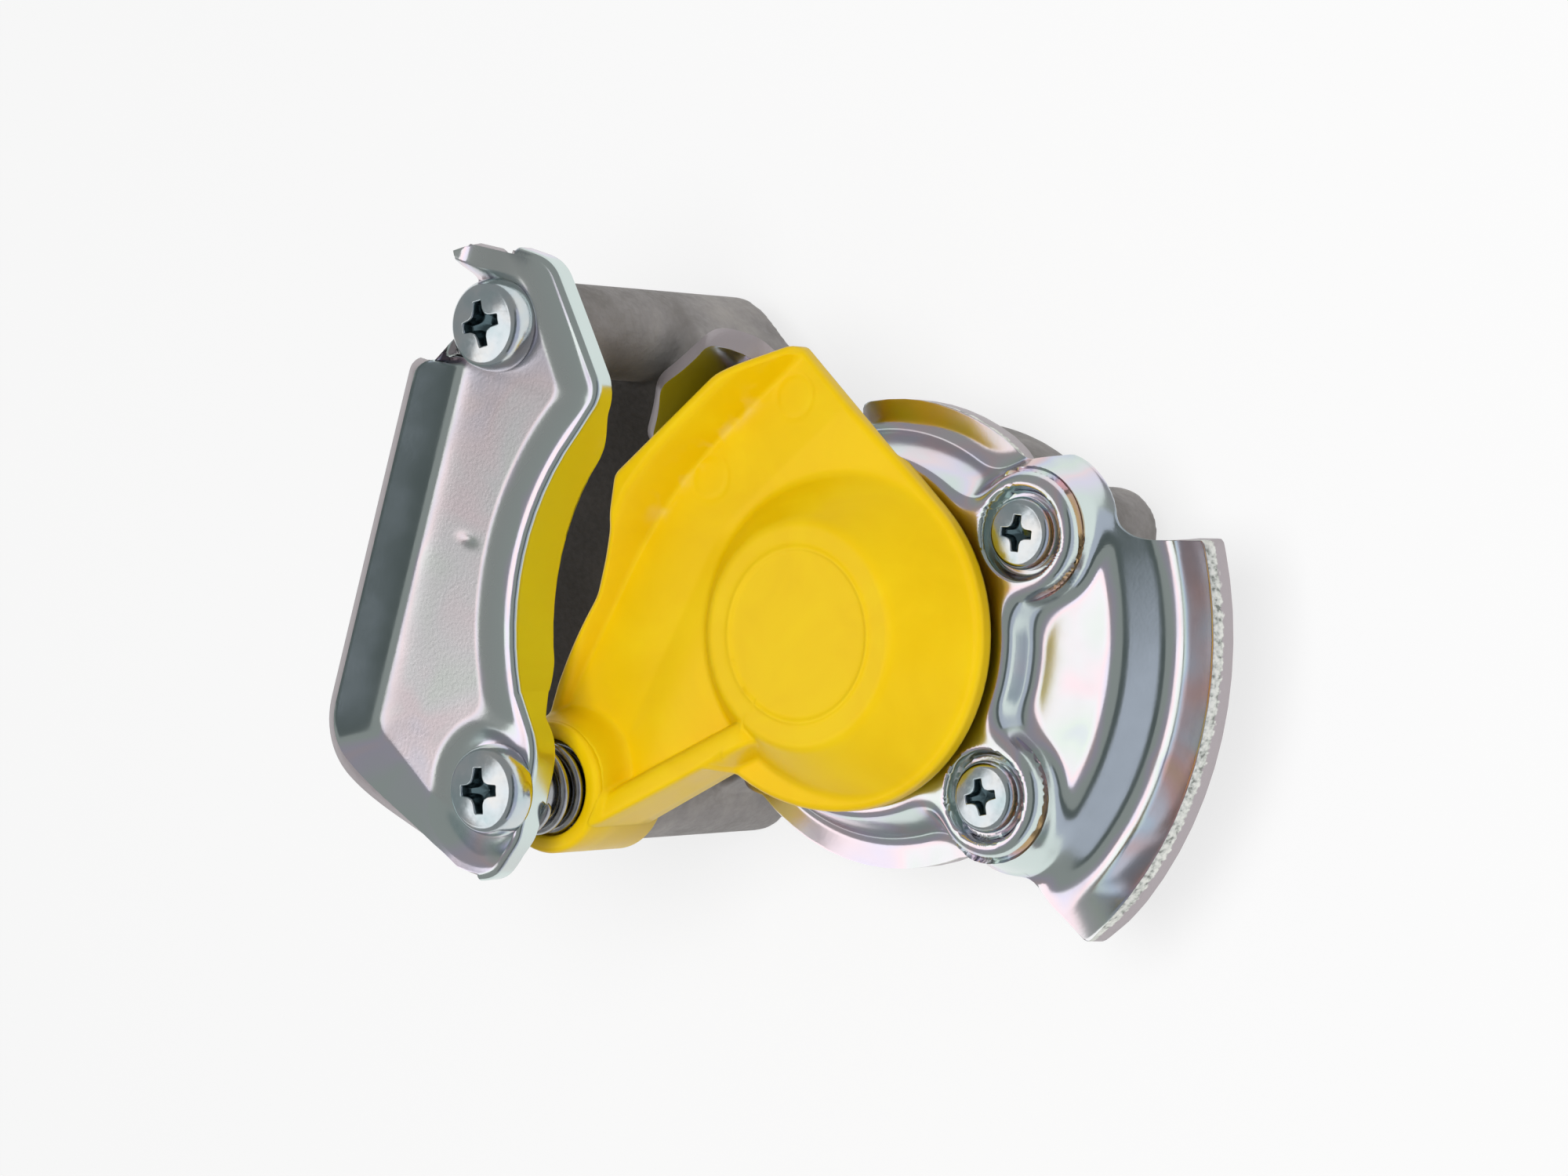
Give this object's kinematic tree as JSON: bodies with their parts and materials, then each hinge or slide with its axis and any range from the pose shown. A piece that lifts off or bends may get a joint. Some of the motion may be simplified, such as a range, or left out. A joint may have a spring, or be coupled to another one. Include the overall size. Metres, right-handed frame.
{
  "type": "gladhand air brake coupler",
  "caption": "Palm-type air brake coupling head: cast body, pressed claw and guide plate, and a sprung yellow dust cover that swings off the face seal.",
  "frame": {"origin": "on the axis of the face seal, at the flat back of the casting", "axes": "+Z along the seal axis, out of the coupling face; +X from the claw towards the guide lip"},
  "size_m": [0.1086, 0.0788, 0.061],
  "materials": {
    "cast_aluminium": "die-cast, shot-blasted, matte",
    "seal_rubber": "moulded, satin",
    "zinc_plate": "pressed steel, bright zinc with clear passivation",
    "zinc_screw": "bright zinc with blue passivation",
    "spring_steel": "drawn, bright",
    "yellow_plastic": "moulded, semi-gloss"
  },
  "bodies": {
    "head": {"body": "cast_aluminium", "seal_ring": "seal_rubber", "face_plate": "zinc_plate", "face_screws": "zinc_screw", "claw_plate": "zinc_plate", "claw_screw": "zinc_screw", "pivot_screw": "zinc_screw", "pivot_sleeve": "spring_steel", "torsion_spring": "spring_steel"},
    "lid": {"cover": "yellow_plastic"}
  },
  "joints": [
    {"name": "cover_swing", "type": "hinge", "parent": "head", "child": "lid", "pos_m": [-0.0306, -0.0311, 0.03], "axis": [0, 0, -1], "range_deg": [0, 95], "stiffness_Nm_per_rad": 0.12, "springref_deg": -68.75}
  ]
}
